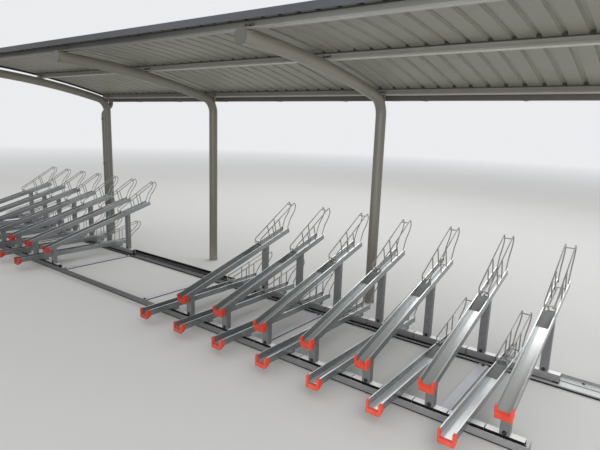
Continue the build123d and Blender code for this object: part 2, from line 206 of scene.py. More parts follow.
def rangeNode(tree, value, fromLow, fromHigh, toLow=0.0, toHigh=1.0):
    node = tree.nodes.new("ShaderNodeMapRange")
    limits = {"From Min": fromLow, "From Max": fromHigh, "To Min": toLow, "To Max": toHigh}
    for label, number in limits.items():
        node.inputs[label].default_value = number
    tree.links.new(value, node.inputs["Value"])
    return node.outputs["Result"]


def productOf(tree, first, *others, clamp=False):
    # all values multiplied one after another, the last result clamped if asked
    total = first
    for place, other in enumerate(others, 1):
        total = mathNode(tree, "MULTIPLY", total, other, clamp and place == len(others))
    return total


def objectPlace(tree):
    # where a point lies, read as ["X"], ["Y"] and ["Z"]
    spot = tree.nodes.new("ShaderNodeTexCoord")
    parts = tree.nodes.new("ShaderNodeSeparateXYZ")
    tree.links.new(spot.outputs["Object"], parts.inputs[0])
    return parts.outputs


def faceNormal(tree):
    # the way a face looks, read the same way
    geometry = tree.nodes.new("ShaderNodeNewGeometry")
    parts = tree.nodes.new("ShaderNodeSeparateXYZ")
    tree.links.new(geometry.outputs["Normal"], parts.inputs[0])
    return parts.outputs


def mixColour(tree, factor, a, b):
    node = tree.nodes.new("ShaderNodeMix")
    node.data_type = "RGBA"
    if isinstance(factor, (int, float)):
        node.inputs[0].default_value = factor
    else:
        tree.links.new(factor, node.inputs[0])
    for place, value in ((6, a), (7, b)):
        if isinstance(value, tuple):
            node.inputs[place].default_value = value
        else:
            tree.links.new(value, node.inputs[place])
    return node.outputs[2]


def noiseNode(tree, scale, detail=3.0, stretch=(1, 1, 1), roughness=0.55):
    spot = tree.nodes.new("ShaderNodeTexCoord")
    mapping = tree.nodes.new("ShaderNodeMapping")
    mapping.inputs["Scale"].default_value = stretch
    noise = tree.nodes.new("ShaderNodeTexNoise")
    noise.inputs["Scale"].default_value = scale
    noise.inputs["Detail"].default_value = detail
    noise.inputs["Roughness"].default_value = roughness
    tree.links.new(spot.outputs["Object"], mapping.inputs["Vector"])
    tree.links.new(mapping.outputs["Vector"], noise.inputs["Vector"])
    return noise.outputs["Fac"]


# how far a face has to turn before it counts, from not at all to fully
upFaces = (0.55, 0.85)
underFaces = (-0.4, -0.8)
frontFaces = (-0.6, -0.9)


def makeDustGroup():
    # dust that settles on faces that look up, and splash marks near the ground
    group, given, result = newGroup(
        "dustAndSplash",
        [
            ("Colour", "NodeSocketColor", (0.5, 0.5, 0.5, 1)),
            ("Dust Colour", "NodeSocketColor", (0.55, 0.53, 0.48, 1)),
            ("Dust", "NodeSocketFloat", 0.4),
            ("Splash", "NodeSocketFloat", 0.4),
            ("Splash Height", "NodeSocketFloat", 0.25),
            ("Roughness", "NodeSocketFloat", 0.45),
        ],
        [("Colour", "NodeSocketColor"), ("Roughness", "NodeSocketFloat")],
    )
    facing = rangeNode(group, faceNormal(group)["Z"], 0.35, 0.95)
    cloudy = rangeNode(group, noiseNode(group, 9.0, 5.0), 0.38, 0.68)
    dust = productOf(group, facing, cloudy, given.outputs["Dust"], clamp=True)
    height = mathNode(group, "DIVIDE", objectPlace(group)["Z"], given.outputs["Splash Height"])
    low = mathNode(group, "SUBTRACT", 1.0, height, True)
    drips = rangeNode(group, noiseNode(group, 26.0, 4.0, (1, 1, 0.25)), 0.36, 0.66)
    splash = productOf(group, low, drips, given.outputs["Splash"], clamp=True)
    total = mathNode(group, "MAXIMUM", dust, splash)
    dusted = mixColour(group, total, given.outputs["Colour"], given.outputs["Dust Colour"])
    group.links.new(dusted, result.inputs["Colour"])
    roughen = mathNode(group, "MULTIPLY", total, 0.35)  # dust takes the shine away
    rough = mathNode(group, "ADD", given.outputs["Roughness"], roughen, True)
    group.links.new(rough, result.inputs["Roughness"])
    return group


def makeFaceToneGroup():
    # painted highlight on faces that look up, painted shade below the foot height
    group, given, result = newGroup(
        "faceTone",
        [
            ("Colour", "NodeSocketColor", (0.4, 0.4, 0.4, 1)),
            ("Top Highlight", "NodeSocketColor", (0.7, 0.7, 0.7, 1)),
            ("Foot Shade", "NodeSocketColor", (0.1, 0.1, 0.1, 1)),
            ("Top Amount", "NodeSocketFloat", 1.0),
            ("Foot Height", "NodeSocketFloat", 0.0),
        ],
        [("Colour", "NodeSocketColor")],
    )
    up = rangeNode(group, faceNormal(group)["Z"], *upFaces)
    top = productOf(group, up, given.outputs["Top Amount"], clamp=True)
    lit = mixColour(group, top, given.outputs["Colour"], given.outputs["Top Highlight"])
    foot = mathNode(group, "LESS_THAN", objectPlace(group)["Z"], given.outputs["Foot Height"])
    group.links.new(mixColour(group, foot, lit, given.outputs["Foot Shade"]), result.inputs["Colour"])
    return group


def makeSpangleGroup():
    # the crystal pattern of a hot dipped zinc coat
    group, given, result = newGroup(
        "zincSpangle",
        [
            ("Dark", "NodeSocketColor", (0.4, 0.42, 0.42, 1)),
            ("Light", "NodeSocketColor", (0.6, 0.62, 0.62, 1)),
            ("Crystal Scale", "NodeSocketFloat", 90.0),
            ("Roughness", "NodeSocketFloat", 0.4),
        ],
        [("Colour", "NodeSocketColor"), ("Roughness", "NodeSocketFloat"), ("Height", "NodeSocketFloat")],
    )
    spot = group.nodes.new("ShaderNodeTexCoord")
    crystals = group.nodes.new("ShaderNodeTexVoronoi")
    crystals.inputs["Randomness"].default_value = 1.0
    group.links.new(spot.outputs["Object"], crystals.inputs["Vector"])
    group.links.new(given.outputs["Crystal Scale"], crystals.inputs["Scale"])
    tone = group.nodes.new("ShaderNodeSeparateColor")
    group.links.new(crystals.outputs["Color"], tone.inputs[0])
    patches = mathNode(group, "MULTIPLY", tone.outputs[0], 0.55)
    clouds = mathNode(group, "MULTIPLY", noiseNode(group, 6.0, 4.0), 0.75)
    factor = rangeNode(group, mathNode(group, "ADD", patches, clouds), 0.1, 1.15)
    coat = mixColour(group, factor, given.outputs["Dark"], given.outputs["Light"])
    group.links.new(coat, result.inputs["Colour"])
    roughShift = mathNode(group, "MULTIPLY", mathNode(group, "SUBTRACT", tone.outputs[1], 0.5), 0.03)
    rough = mathNode(group, "ADD", given.outputs["Roughness"], roughShift, True)
    group.links.new(rough, result.inputs["Roughness"])
    grain = mathNode(group, "MULTIPLY", tone.outputs[2], 0.12)  # each crystal stands a little higher or lower
    group.links.new(mathNode(group, "ADD", noiseNode(group, 55.0, 2.0), grain), result.inputs["Height"])
    return group


def makeStreakGroup():
    # faint run marks and mottling in old paint
    group, given, result = newGroup(
        "paintMottle",
        [
            ("Colour", "NodeSocketColor", (0.5, 0.5, 0.5, 1)),
            ("Faded", "NodeSocketColor", (0.6, 0.6, 0.6, 1)),
            ("Amount", "NodeSocketFloat", 0.5),
        ],
        [("Colour", "NodeSocketColor"), ("Height", "NodeSocketFloat")],
    )
    cloudy = rangeNode(group, noiseNode(group, 2.3, 5.0), 0.35, 0.7)
    runs = rangeNode(group, noiseNode(group, 14.0, 4.0, (1, 1, 0.12)), 0.42, 0.72)
    marks = mathNode(group, "MAXIMUM", cloudy, runs)
    amount = productOf(group, marks, given.outputs["Amount"], clamp=True)
    faded = mixColour(group, amount, given.outputs["Colour"], given.outputs["Faded"])
    group.links.new(faded, result.inputs["Colour"])
    group.links.new(noiseNode(group, 420.0, 2.0), result.inputs["Height"])
    return group


def makePlaceToneGroup():
    # scales a coat along the part, from front to rear and on undersides; the gains follow how the
    # real part is lit, not only how it is painted, so take them to 1 for a part lit from elsewhere
    group, given, result = newGroup(
        "placeTone",
        [
            ("Colour", "NodeSocketColor", (0.5, 0.5, 0.5, 1)),
            ("Left X", "NodeSocketFloat", 0.0),
            ("Right X", "NodeSocketFloat", 2.0),
            ("Left Gain", "NodeSocketFloat", 1.0),
            ("Front Y", "NodeSocketFloat", -1.0),
            ("Rear Y", "NodeSocketFloat", 0.0),
            ("Front Gain", "NodeSocketFloat", 1.0),
            ("Under Gain", "NodeSocketFloat", 1.0),
        ],
        [("Colour", "NodeSocketColor")],
    )
    place = objectPlace(group)
    gains = []
    for axis, low, high, gain in (
        ("X", "Left X", "Right X", "Left Gain"),
        ("Y", "Front Y", "Rear Y", "Front Gain"),
    ):
        reach = mathNode(group, "SUBTRACT", given.outputs[high], given.outputs[low])
        offset = mathNode(group, "SUBTRACT", place[axis], given.outputs[low])
        along = mathNode(group, "DIVIDE", offset, reach, True)
        step = productOf(group, along, mathNode(group, "SUBTRACT", 1.0, given.outputs[gain]))
        gains.append(mathNode(group, "ADD", given.outputs[gain], step))
    under = rangeNode(group, faceNormal(group)["Z"], *underFaces)
    underStep = mathNode(group, "SUBTRACT", given.outputs["Under Gain"], 1.0)
    gains.append(mathNode(group, "ADD", productOf(group, under, underStep), 1.0))
    scaled = group.nodes.new("ShaderNodeVectorMath")
    scaled.operation = "SCALE"
    group.links.new(given.outputs["Colour"], scaled.inputs[0])
    group.links.new(productOf(group, *gains), scaled.inputs["Scale"])
    group.links.new(scaled.outputs[0], result.inputs["Colour"])
    return group


dustGroup = makeDustGroup()
placeToneGroup = makePlaceToneGroup()
spangleGroup = makeSpangleGroup()
streakGroup = makeStreakGroup()
faceToneGroup = makeFaceToneGroup()


def useGroup(tree, group, values):
    node = tree.nodes.new("ShaderNodeGroup")
    node.node_tree = group
    for label, value in values.items():
        if isinstance(value, (tuple, int, float)):
            node.inputs[label].default_value = value
        else:
            tree.links.new(value, node.inputs[label])
    return node


def tint(red, green, blue):
    # a colour given as it looks on screen, 0 to 255, in the linear values that shaders read
    steps = [v / 255 for v in (red, green, blue)]
    return tuple(s / 12.92 if s <= 0.04045 else ((s + 0.055) / 1.055) ** 2.4 for s in steps) + (1.0,)


def newMaterial(name):
    material = bpy.data.materials.new(name)
    material.use_nodes = True
    return material, material.node_tree, material.node_tree.nodes["Principled BSDF"]


def addBump(tree, shader, height, strength, distance):
    bump = tree.nodes.new("ShaderNodeBump")
    bump.inputs["Strength"].default_value = strength
    bump.inputs["Distance"].default_value = distance
    tree.links.new(height, bump.inputs["Height"])
    tree.links.new(bump.outputs["Normal"], shader.inputs["Normal"])


placeBase = {
    "leftX": 0.0, "rightX": 2.0, "leftGain": 1.0, "frontY": -1.0, "rearY": 0.0, "frontGain": 1.0,
    "underGain": 1.0,
}


def placeTone(tree, colour, look):
    # a value that the look doesn't name comes from placeBase
    values = {"Colour": colour}
    for label in ("Left X", "Right X", "Left Gain", "Front Y", "Rear Y", "Front Gain", "Under Gain"):
        key = label[0].lower() + label[1:].replace(" ", "")
        values[label] = look.get(key, placeBase[key])
    return useGroup(tree, placeToneGroup, values).outputs["Colour"]


def paintFinish(name, look):
    material, tree, shader = newMaterial(name)
    coat = {"Colour": look["colour"], "Faded": look["faded"], "Amount": look["mottle"]}
    mottle = useGroup(tree, streakGroup, coat)
    dust = useGroup(
        tree,
        dustGroup,
        {
            "Colour": mottle.outputs["Colour"],
            "Dust Colour": look["dustColour"],
            "Dust": look["dust"],
            "Splash": look["splash"],
            "Roughness": look["roughness"],
        },
    )
    tree.links.new(placeTone(tree, dust.outputs["Colour"], look), shader.inputs["Base Color"])
    tree.links.new(dust.outputs["Roughness"], shader.inputs["Roughness"])
    shader.inputs["Specular IOR Level"].default_value = 0.4
    addBump(tree, shader, mottle.outputs["Height"], 0.12, 0.001)
    return material


def zincFinish(name, look):
    material, tree, shader = newMaterial(name)
    spangle = useGroup(
        tree,
        spangleGroup,
        {
            "Dark": look["dark"],
            "Light": look["light"],
            "Crystal Scale": look["crystals"],
            "Roughness": look["roughness"],
        },
    )
    tone = useGroup(
        tree,
        faceToneGroup,
        {
            "Colour": spangle.outputs["Colour"],
            "Top Highlight": look["top"],
            "Foot Shade": look["footShade"],
            "Top Amount": look["topAmount"],
            "Foot Height": look["foot"],
        },
    )
    dust = useGroup(
        tree,
        dustGroup,
        {
            "Colour": tone.outputs["Colour"],
            "Dust Colour": look["dustColour"],
            "Dust": look["dust"],
            "Splash": look["splash"],
            "Roughness": spangle.outputs["Roughness"],
        },
    )
    tree.links.new(placeTone(tree, dust.outputs["Colour"], look), shader.inputs["Base Color"])
    tree.links.new(dust.outputs["Roughness"], shader.inputs["Roughness"])
    shader.inputs["Metallic"].default_value = look["metal"]
    addBump(tree, shader, spangle.outputs["Height"], 0.05, 0.0005)
    return material


# the gains here are painted light, darker towards the left, lighter to the front and on undersides; the arm
# caps and the front and rear purlins are darker, shaded copies of the post and purlin paint
paintLooks = {
    "postPaint": {
        "colour": tint(112, 110, 100), "faded": tint(125, 123, 113), "mottle": 0.6, "roughness": 0.38,
        "leftGain": 0.85, "frontY": -0.5, "rearY": -0.1, "frontGain": 1.3,
    },
    "armCapShadedPaint": {
        "colour": tint(84, 83, 78), "faded": tint(94, 93, 87), "mottle": 0.6, "roughness": 0.42,
    },
    "purlinPaint": {
        "colour": tint(148, 146, 139), "faded": tint(160, 158, 151), "mottle": 0.6, "roughness": 0.42,
        "leftX": -0.5, "leftGain": 0.8, "underGain": 1.6,
    },
    "rearPurlinShadedPaint": {
        "colour": tint(131, 129, 121), "faded": tint(143, 141, 133), "mottle": 0.6, "roughness": 0.42,
        "leftX": -0.5, "leftGain": 0.8, "underGain": 1.6,
    },
    "frontPurlinShadedPaint": {
        "colour": tint(136, 136, 132), "faded": tint(146, 146, 142), "mottle": 0.6, "roughness": 0.42,
        "leftX": 1.0, "rightX": 2.5, "leftGain": 0.42, "underGain": 1.6,
    },
    "cleatPaint": {
        "colour": tint(100, 99, 94), "faded": tint(110, 109, 104), "mottle": 0.6, "roughness": 0.42,
    },
    "roofPaint": {
        "colour": tint(140, 138, 127), "faded": tint(152, 150, 139), "mottle": 0.6, "roughness": 0.5,
    },
    "flashingPaint": {
        "colour": tint(71, 73, 79), "faded": tint(82, 84, 91), "mottle": 0.6, "roughness": 0.4,
        "leftX": 0.0, "rightX": 1.5, "leftGain": 0.36,
    },
    "gutterPaint": {
        "colour": tint(76, 71, 65), "faded": tint(88, 83, 76), "mottle": 0.6, "roughness": 0.45,
    },
}
railFoot = 0.0114  # below this the rails' sides lie in the dark
railShade = {"leftX": 0.0, "rightX": 3.6, "leftGain": 0.42}
# each top colour here is a painted highlight on faces that look up, the rails' colour below railFoot is
# painted shade, and the gains are painted light, darker towards the left and at the channels' front ends
zincLooks = {
    "railZinc": {
        "dark": tint(142, 143, 143), "light": tint(160, 161, 161), "crystals": 70.0, "roughness": 0.42,
        "metal": 0.5, "top": tint(224, 225, 225), "foot": railFoot, **railShade,
    },
    "tieZinc": {
        "dark": tint(70, 71, 72), "light": tint(84, 85, 86), "crystals": 70.0, "roughness": 0.5,
        "metal": 0.3, "top": tint(206, 207, 214), "topAmount": 1.0,
    },
    "channelZinc": {
        "dark": tint(142, 147, 148), "light": tint(156, 160, 161), "crystals": 60.0, "roughness": 0.24,
        "metal": 0.6, "top": tint(252, 254, 254), "topAmount": 1.0, "dust": 0.03, "frontY": -1.4,
        "rearY": -1.0, "frontGain": 0.72,
    },
    "legZinc": {
        "dark": tint(112, 113, 114), "light": tint(128, 129, 130), "crystals": 60.0, "roughness": 0.42,
        "metal": 0.4, "top": tint(170, 171, 171),
    },
    "hoopZinc": {
        "dark": tint(136, 137, 135), "light": tint(158, 159, 157), "crystals": 160.0, "roughness": 0.32,
        "metal": 0.5, "dust": 0.03,
    },
    "boltZinc": {
        "dark": tint(38, 38, 38), "light": tint(62, 61, 60), "crystals": 220.0, "roughness": 0.5,
        "metal": 0.5,
    },
    "screwZinc": {
        "dark": tint(128, 128, 124), "light": tint(160, 160, 156), "crystals": 220.0, "roughness": 0.4,
        "metal": 0.6,
    },
    "rampZinc": {
        "dark": tint(134, 136, 136), "light": tint(150, 152, 152), "crystals": 60.0, "roughness": 0.5,
        "metal": 0.3, "leftX": 1.5, "rightX": 3.6, "leftGain": 0.6,
    },
    "ridgeZinc": {
        "dark": tint(196, 198, 199), "light": tint(214, 216, 217), "crystals": 90.0, "roughness": 0.4,
        "metal": 0.5, "leftX": 1.0, "rightX": 3.7, "leftGain": 0.08,
    },
}
# the carriages' top colour is a painted highlight, and their gains painted light, darker towards the left
carriageLook = {
    "dark": tint(158, 159, 160), "light": tint(178, 179, 180), "crystals": 90.0, "roughness": 0.38,
    "metal": 0.2, "top": tint(252, 253, 253), "topAmount": 1.0, "dust": 0.03, "leftX": 0.5,
    "rightX": 3.4, "leftGain": 0.7,
}
zincBase = {
    "dustColour": tint(166, 161, 150),
    "dust": 0.15,
    "splash": 0.0,
    "top": tint(200, 200, 200),
    "footShade": tint(30, 30, 32),
    "foot": -1.0,
}
paintBase = {"dustColour": tint(168, 162, 148), "dust": 0.5, "splash": 0.5}
# the top colour is a painted highlight
plainTop = 0.8  # how far a zinc piece takes its top colour on faces that look up
finishes = {}
for name, look in paintLooks.items():
    finishes[name] = paintFinish(name, {**paintBase, **look})
for name, look in zincLooks.items():
    finishes[name] = zincFinish(name, {**zincBase, "topAmount": plainTop if "top" in look else 0.0, **look})


def plasticFinish(name, look):
    material, tree, shader = newMaterial(name)
    sunBleach = rangeNode(tree, noiseNode(tree, 22.0, 4.0), 0.35, 0.7)
    colour = mixColour(tree, sunBleach, look["colour"], look["faded"])
    dust = useGroup(
        tree,
        dustGroup,
        {
            "Colour": colour,
            "Dust Colour": look["dustColour"],
            "Dust": 0.22,
            "Splash": 0.3,
            "Roughness": look["roughness"],
        },
    )
    tree.links.new(placeTone(tree, dust.outputs["Colour"], look), shader.inputs["Base Color"])
    tree.links.new(dust.outputs["Roughness"], shader.inputs["Roughness"])
    addBump(tree, shader, noiseNode(tree, 900.0, 2.0), 0.18, 0.0005)
    return material


def insideBand(tree, value, low, high):
    # 1 between the two limits
    above = mathNode(tree, "GREATER_THAN", value, low)
    return productOf(tree, above, mathNode(tree, "LESS_THAN", value, high))


def shadeBaseColour(material, mask, colour):
    # lays one more tone over what already feeds the base colour
    tree = material.node_tree
    socket = tree.nodes["Principled BSDF"].inputs["Base Color"]
    before = socket.links[0].from_socket
    tree.links.new(mixColour(tree, mask, before, colour), socket)


# painted shade in the wide rail's trough, fading out towards its far right end
troughShade = {
    "colour": tint(23, 24, 26), "front": -0.5635, "back": -0.3885, "height": 0.0205, "shadeFadeFrom": 3.0,
    "shadeFadeTo": 3.72,
}
# painted shade on the carriages' front faces and painted shadow in their gaps
gapShadow = {"colour": tint(26, 26, 28), "rear": tint(140, 140, 139), "split": -1.0, "shade": 0.014}


def makeTroughFinish():
    # the wide rail, its trough painted black as shade but for the far right end, and a painted shadow at the
    # foot of its front side
    look = troughShade
    rail = {**zincBase, "topAmount": plainTop, **zincLooks["railZinc"], "foot": zincBase["foot"]}
    material = zincFinish("troughZinc", rail)
    tree = material.node_tree
    place = objectPlace(tree)
    inside = insideBand(tree, place["Y"], look["front"], look["back"])
    low = mathNode(tree, "LESS_THAN", place["Z"], look["height"])
    inShade = rangeNode(tree, place["X"], look["shadeFadeFrom"], look["shadeFadeTo"], 1.0, 0.0)
    cloudy = rangeNode(tree, noiseNode(tree, 7.0, 4.0), 0.2, 0.5, 0.8, 1.0)
    shadeBaseColour(material, productOf(tree, inside, low, inShade, cloudy, clamp=True), look["colour"])
    outside = mathNode(tree, "LESS_THAN", place["Y"], look["front"])
    foot = mathNode(tree, "LESS_THAN", place["Z"], railFoot)
    shadeBaseColour(material, productOf(tree, outside, foot), look["colour"])
    return material


def makeCarriageFinish():
    # bright tops are a painted highlight and faces to the front a painted shade; the narrow gap at the front
    # rail and the running gap at the rear one are painted black as shadow
    material = zincFinish("carriageFaceZinc", {**zincBase, **carriageLook})
    tree = material.node_tree
    place = objectPlace(tree)
    ahead = rangeNode(tree, faceNormal(tree)["Y"], *frontFaces)
    shadeBaseColour(material, ahead, gapShadow["rear"])
    atFront = mathNode(tree, "LESS_THAN", place["Y"], gapShadow["split"])
    low = mathNode(tree, "LESS_THAN", place["Z"], gapShadow["shade"])
    gap = mathNode(tree, "MAXIMUM", atFront, low)
    shadeBaseColour(material, productOf(tree, ahead, gap), gapShadow["colour"])
    return material


ribLook = {"colour": tint(158, 156, 145), "depth": 0.008, "facing": -0.1, "amount": 0.6}


def fromRoofAxis(tree):
    # how far a point lies from the axis that the roof bends round
    place = objectPlace(tree)
    offY = mathNode(tree, "SUBTRACT", place["Y"], roofArc["y"])
    offZ = mathNode(tree, "SUBTRACT", place["Z"], roofArc["z"])
    squares = mathNode(tree, "ADD", productOf(tree, offY, offY), productOf(tree, offZ, offZ))
    return mathNode(tree, "SQRT", squares)


# colour of the painted contact shadow along the top of each purlin
seatShadow = {"colour": tint(72, 71, 67), "from": 0.0505}


def paintSeatShadow(material):
    # a painted contact shadow: the thin dark line where a purlin meets the roof sheet
    tree = material.node_tree
    edge = mathNode(tree, "GREATER_THAN", fromRoofAxis(tree), roofArc["arm"] + seatShadow["from"])
    shadeBaseColour(material, edge, seatShadow["colour"])


def lightenRibs(material):
    # the underside of the ribs catches light from the ground
    tree = material.node_tree
    inRib = mathNode(tree, "GREATER_THAN", fromRoofAxis(tree), roofArc["sheet"] + ribLook["depth"])
    below = mathNode(tree, "LESS_THAN", faceNormal(tree)["Z"], ribLook["facing"])
    shadeBaseColour(material, productOf(tree, inRib, below, ribLook["amount"]), ribLook["colour"])


floorShade = {
    "colour": tint(172, 177, 177), "left": 1.2, "right": 3.6, "amount": 0.7, "pitch": 0.2,
    "rightPhase": 0.028, "leftPhase": 0.075, "lipFrom": 0.0352,
}


def shadeLeftFloors(material):
    # painted shade greys the channel floors further along from the right end, where they are brightest; the
    # lips stay bright
    look = floorShade
    tree = material.node_tree
    along = objectPlace(tree)["X"]
    up = rangeNode(tree, faceNormal(tree)["Z"], *upFaces)
    left = rangeNode(tree, along, look["left"], look["right"], look["amount"], 0.0)
    isRight = mathNode(tree, "GREATER_THAN", along, 0.0)
    step = mathNode(tree, "MULTIPLY", isRight, look["rightPhase"] - look["leftPhase"])
    phase = mathNode(tree, "ADD", step, look["leftPhase"])
    turns = mathNode(tree, "DIVIDE", mathNode(tree, "SUBTRACT", along, phase), look["pitch"])
    part = mathNode(tree, "SUBTRACT", mathNode(tree, "FRACT", mathNode(tree, "ADD", turns, 0.5)), 0.5)
    offCentre = mathNode(tree, "MULTIPLY", mathNode(tree, "ABSOLUTE", part), look["pitch"])
    notLip = mathNode(tree, "LESS_THAN", offCentre, look["lipFrom"])
    shadeBaseColour(material, productOf(tree, up, left, notLip), look["colour"])


shadeLeftFloors(finishes["channelZinc"])
lightenRibs(finishes["roofPaint"])
for name in ("frontPurlinShadedPaint", "purlinPaint", "rearPurlinShadedPaint"):
    paintSeatShadow(finishes[name])
finishes["troughZinc"] = makeTroughFinish()
finishes["carriageFaceZinc"] = makeCarriageFinish()
plasticLooks = {
    # the caps' gains are painted light, darker towards the left
    "capPlastic": {
        "colour": tint(218, 60, 36), "faded": tint(228, 78, 52), "dustColour": tint(200, 160, 140),
        "roughness": 0.42, "leftX": 0.6, "rightX": 2.9, "leftGain": 0.5,
    },
    "sealRubber": {
        "colour": tint(56, 55, 52), "faded": tint(70, 69, 65), "dustColour": tint(110, 106, 98),
        "roughness": 0.7,
    },
    "footSealant": {
        "colour": tint(150, 147, 138), "faded": tint(168, 165, 156), "dustColour": tint(180, 176, 166),
        "roughness": 0.8,
    },
}
for name, look in plasticLooks.items():
    finishes[name] = plasticFinish(name, look)
print("finishes made:", len(finishes))

wornBy = {
    "postPaint": ["bent_posts", "downpipe"],
    "armCapShadedPaint": ["arm_end_caps"],
    "frontPurlinShadedPaint": ["front_purlin"],
    "purlinPaint": ["middle_purlin"],
    "rearPurlinShadedPaint": ["rear_purlin"],
    "cleatPaint": ["purlin_cleats", "rear_purlin_seats"],
    "roofPaint": ["roof_sheet"],
    "flashingPaint": ["front_flashing", "verge_trims"],
    "gutterPaint": ["rear_gutter", "gutter_hangers", "downpipe_straps"],
    "railZinc": ["front_rail", "rail_end_stops"],
    "troughZinc": ["rear_rail"],
    "tieZinc": ["floor_ties"],
}
nodeFinish = {name: finish for finish, names in wornBy.items() for name in names}
endings = {  # the racks' nodes are told by the end of their names
    "_carriages": "carriageFaceZinc",
    "_channel": "channelZinc",
    "_channels": "channelZinc",
    "_legs": "legZinc",
    "_seats": "legZinc",
    "_hoop": "hoopZinc",
    "_hoops": "hoopZinc",
    "_cap": "capPlastic",
    "_caps": "capPlastic",
}
for name, node in nodes.items():
    finish = nodeFinish.get(name)
    for ending, other in endings.items():
        if finish is None and name.endswith(ending):
            finish = other
    if not node.material_slots:
        node.data.materials.append(finishes[finish])
    for place in node.material_slots:
        place.material = finishes[finish]
print("nodes finished")

# wheel hoops: bent round wire, in place of the plain ones
hoopLook = {
    "wire": 0.0045,
    "half": 0.031,
    "bend": 0.011,
    "foot": -0.024,
    "front": -0.395,
    "frontTop": 0.053,
    "slopeEnd": (0.140, 0.197),
    "back": [(0.146, 0.199), (0.154, 0.154), (0.119, 0.113), (0.048, 0.068), (-0.008, 0.003)],
    "pickets": [-0.210, -0.110],
    "rodHeight": 0.030,
    "barAlong": 0.115,
    "barDrop": 0.005,
    "loopHalf": 0.016,
    "loopFront": -0.372,
}


def bendWire(name, points, bend):
    # a path drawn point by point, its corners rounded, then given its thickness
    clearSelection()
    bpy.ops.mesh.primitive_plane_add(size=0.002, location=points[0])
    piece = startPiece(name)
    bpy.ops.object.transform_apply(location=True, rotation=True, scale=True)
    bpy.ops.object.mode_set(mode="EDIT")
    bpy.ops.mesh.select_mode(type="VERT")
    bpy.ops.mesh.select_all(action="SELECT")
    bpy.ops.mesh.merge(type="CENTER")
    for a, b in zip(points, points[1:]):
        bpy.ops.mesh.extrude_vertices_move(TRANSFORM_OT_translate={"value": [q - p for p, q in zip(a, b)]})
    bpy.ops.mesh.select_all(action="DESELECT")
    bpy.ops.object.mode_set(mode="OBJECT")
    ends = (Vector(points[0]), Vector(points[-1]))
    for vertex in piece.data.vertices:
        vertex.select = all((vertex.co - end).length > 1e-5 for end in ends)
    bpy.ops.object.mode_set(mode="EDIT")
    if bend and len(points) > 2:
        bpy.ops.mesh.bevel(offset=bend, segments=3, affect="VERTICES")
    bpy.ops.object.mode_set(mode="OBJECT")
    bpy.ops.object.convert(target="CURVE")
    piece = bpy.context.object
    piece.data.bevel_depth = hoopLook["wire"]
    piece.data.bevel_resolution = 1
    piece.data.use_fill_caps = True
    bpy.ops.object.convert(target="MESH")
    return startPiece(name)


def makeHoop():
    look = hoopLook
    half, foot, front, top = look["half"], look["foot"], look["front"], look["frontTop"]
    outline = [(front, foot), (front, top), *look["back"], (look["back"][-1][0], foot)]
    rise = (look["slopeEnd"][1] - top) / (look["slopeEnd"][0] - front)
    lastPicket = look["pickets"][-1]
    wires = []
    for side in (-half, half):
        wires.append(bendWire("hoopSide", [(side, s, h) for s, h in outline], look["bend"]))
        for s in look["pickets"]:
            wires.append(bendWire("hoopPicket", [(side, s, foot), (side, s, top + rise * (s - front))], 0))
    barHeight = top + rise * (look["barAlong"] - front) - look["barDrop"]
    for s, h in ((front, look["rodHeight"]), (look["barAlong"], barHeight), (lastPicket, 0.0)):
        wires.append(bendWire("hoopBar", [(-half, s, h), (half, s, h)], 0))
    for side in (-look["loopHalf"], look["loopHalf"]):
        loop = [(side, front, look["rodHeight"]), (side, look["loopFront"], 0.0), (side, lastPicket, 0.0)]
        wires.append(bendWire("hoopLoop", loop, look["bend"]))
    hoop = joinPieces("hoop", wires)
    smoothBy(hoop, 50)
    return hoop


# the wheel channels: the place of each one's rear end, as Y and Z, and its length
channelLook = {
    "lowRear": (-0.355, 0.130), "lowLength": 1.300, "highRear": (-0.210, 0.602), "highRun": 1.254,
    "highRise": 0.356,
}


def lowPlace(x):
    return at(x, *channelLook["lowRear"])


def highPlace(x):
    slope = atan2(channelLook["highRise"], channelLook["highRun"])
    return at(x, *channelLook["highRear"]) @ Matrix.Rotation(slope, 4, "X")


# front end caps of the channels, moulded plastic
capLook = {
    "half": 0.044,
    "top": 0.0015,
    "frontBottom": -0.069,
    "rearBottom": -0.050,
    "ahead": 0.022,
    "sleeve": 0.018,
    "prong": 0.0125,
    "lowFloor": -0.043,
    "highFloor": -0.031,
    "corner": 0.005,
    "pocketHalf": 0.0428,
    "pocketFloor": -0.0463,
    "soft": 0.0014,
}


def cutAway(piece, cutter):
    pickOnly(piece)
    cut = piece.modifiers.new("cut", "BOOLEAN")
    cut.operation = "DIFFERENCE"
    cut.solver = "EXACT"
    cut.object = cutter
    bpy.ops.object.modifier_apply(modifier=cut.name)
    dropPattern(cutter)


def makeCap(front, slotFloor):
    # a wedge with a slot for the wheel, hollowed behind to slip over the channel
    look = capLook
    half, slot = look["half"], look["half"] - look["prong"]
    tip, back = -front - look["ahead"], -front + look["sleeve"]
    cap = addBox("cap", (-half, tip, look["rearBottom"]), (half, back, look["top"]))
    ahead, low = tip + nearEnough, look["rearBottom"] + nearEnough
    pickEdges(cap, lambda a, b: a.y < ahead and b.y < ahead and a.z < low and b.z < low)
    bpy.ops.transform.translate(value=(0, 0, look["frontBottom"] - look["rearBottom"]))
    pickEdges(cap, lambda a, b: a.y < ahead and b.y < ahead and abs(a.x - b.x) < nearEnough)
    bpy.ops.mesh.bevel(offset=look["corner"], segments=3)
    bpy.ops.object.mode_set(mode="OBJECT")
    past = back + overcut
    cutAway(cap, addBox("slotCutter", (-slot, tip - overcut, slotFloor), (slot, past, overcut)))
    pocket = look["pocketHalf"]
    cutAway(cap, addBox("pocketCutter", (-pocket, -front, look["pocketFloor"]), (pocket, past, overcut)))
    softenEdges(cap, look["soft"], 2)
    smoothBy(cap, 30)
    return cap


